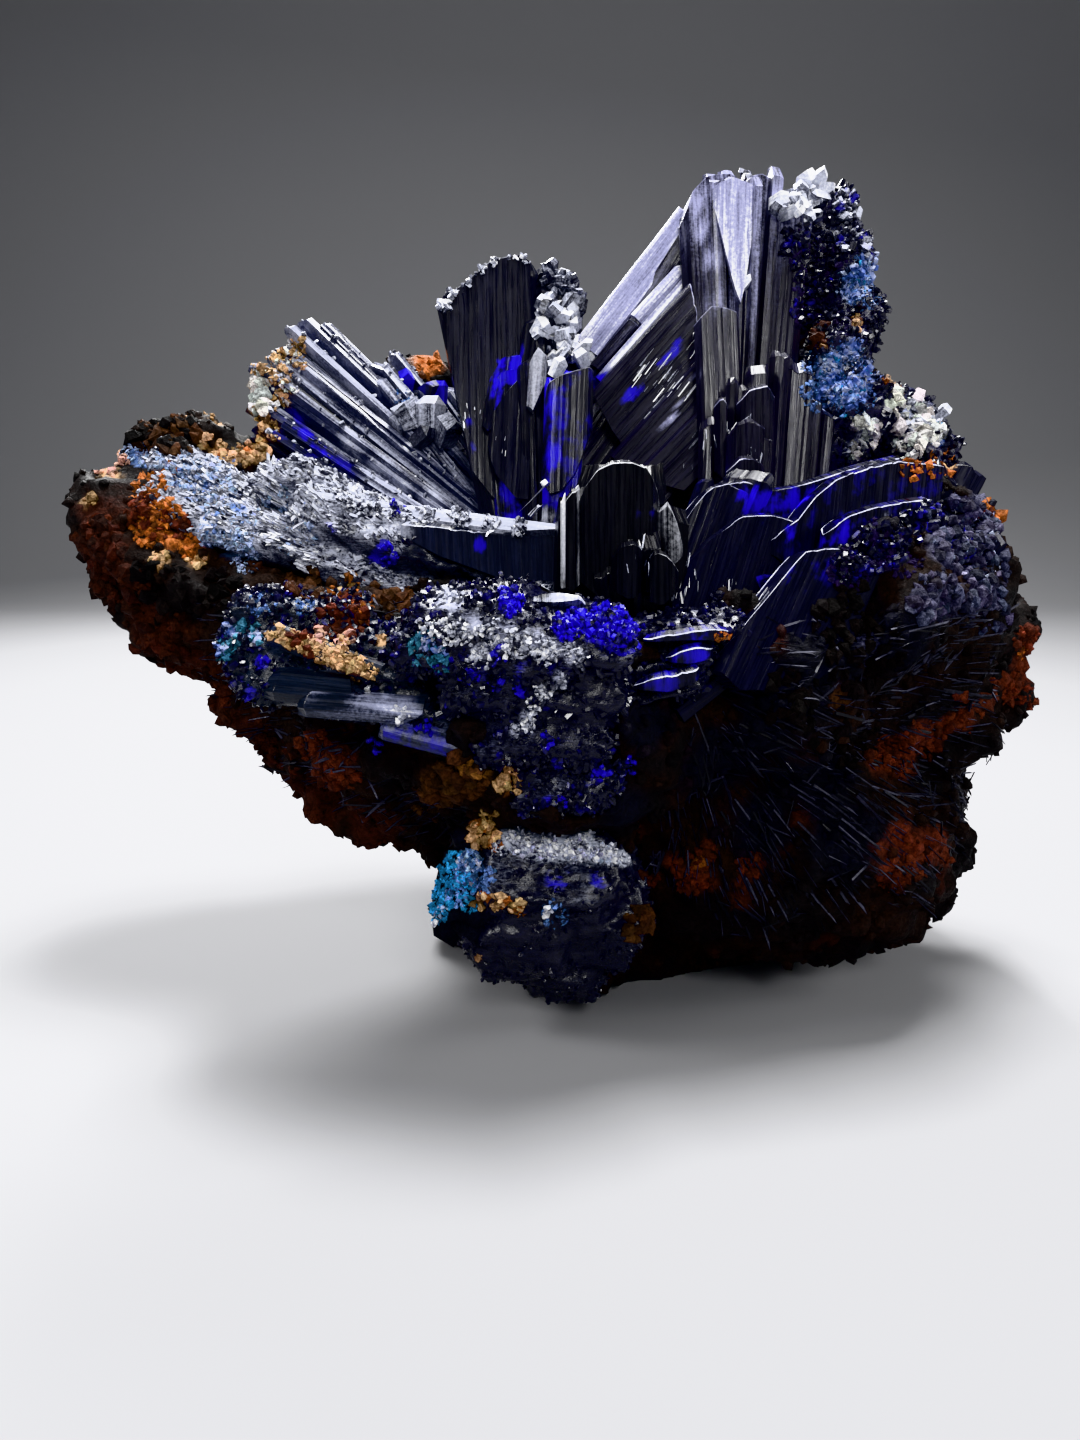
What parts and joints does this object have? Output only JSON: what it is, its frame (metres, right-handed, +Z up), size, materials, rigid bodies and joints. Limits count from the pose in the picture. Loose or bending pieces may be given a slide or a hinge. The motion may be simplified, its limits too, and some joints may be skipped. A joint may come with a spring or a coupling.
{
  "type": "azurite mineral specimen",
  "caption": "Azurite specimen: sheaves and plates of dark blue bladed crystals standing in an open bowl of rusty goethite rock, with blue and white druse on its ledges.",
  "frame": {"origin": "a point on the flat rest face under the rock, below the open bowl of crystals", "axes": "+Z up, +X along the specimen's long side towards its right end as seen from its best side, +Y away from the viewer"},
  "size_m": [0.1466, 0.0818, 0.1192],
  "materials": {
    "rock_matrix": "rough, black-brown with rust and orange patches",
    "tall_crystal_fan": "glassy, finely striated, near-black blue",
    "centre_blades": "glassy, finely striated, near-black blue",
    "left_crystal_sheaf": "streaky lavender and silver over dark blue",
    "lying_plates": "silvery lavender over dark blue",
    "bowl_prisms": "glassy, near-black blue",
    "right_wall_plates": "glassy, vivid to near-black blue",
    "front_ledge_crystals": "vivid blue with white sparkling druse",
    "shelf_blades": "dull blue with pale blue powder and cream crust",
    "foot_nodule": "sky blue, cream-orange and sparkling white crust on dark blue",
    "shoulder_druse": "violet-black and pale blue druse"
  },
  "bodies": {
    "root": {"rock_matrix": "rock_matrix", "tall_crystal_fan": "tall_crystal_fan", "centre_blades": "centre_blades", "left_crystal_sheaf": "left_crystal_sheaf", "lying_plates": "lying_plates", "bowl_prisms": "bowl_prisms", "right_wall_plates": "right_wall_plates", "front_ledge_crystals": "front_ledge_crystals", "shelf_blades": "shelf_blades", "foot_nodule": "foot_nodule", "shoulder_druse": "shoulder_druse"}
  },
  "joints": []
}
